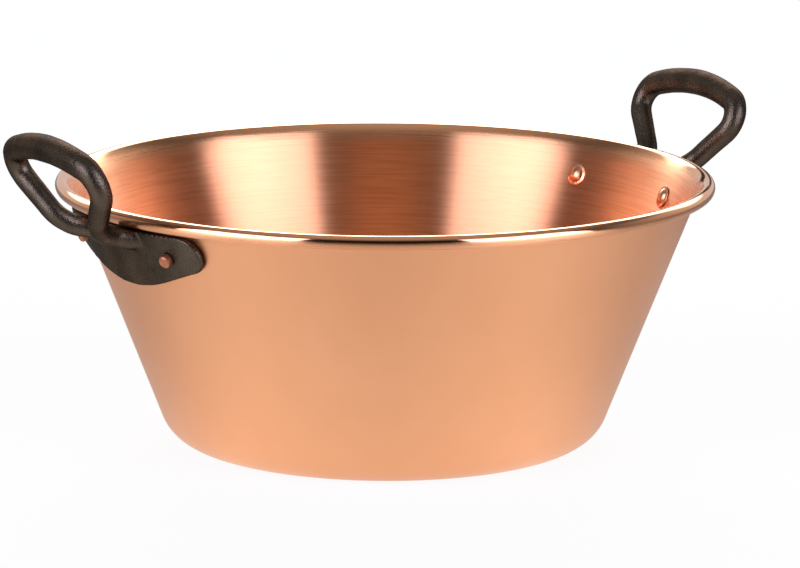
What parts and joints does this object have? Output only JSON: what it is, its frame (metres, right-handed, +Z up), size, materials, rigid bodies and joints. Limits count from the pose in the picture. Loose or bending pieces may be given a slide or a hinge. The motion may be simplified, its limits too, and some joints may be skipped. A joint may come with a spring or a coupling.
{
  "type": "copper jam pan",
  "caption": "Wide tapered copper preserving pan with a rolled rim and riveted cast iron loop handles, for boiling jam.",
  "frame": {"origin": "middle of the pan's underside", "axes": "+Z up out of the bowl, X through the two handles, Y across them"},
  "size_m": [0.323, 0.265, 0.1385],
  "materials": {
    "copper_sheet": "satin copper outside, fine turned brushing inside, polished rim",
    "rim_wire": "plain steel wire, hidden in the roll",
    "cast_iron": "dark seasoned casting with a fine pebbled skin",
    "copper_rivet": "worn copper"
  },
  "bodies": {
    "root": {"pan_body": "copper_sheet", "rim_wire": "rim_wire", "handle_left": "cast_iron", "handle_right": "cast_iron", "rivet_left_front": "copper_rivet", "rivet_left_back": "copper_rivet", "rivet_right_front": "copper_rivet", "rivet_right_back": "copper_rivet"}
  },
  "joints": []
}
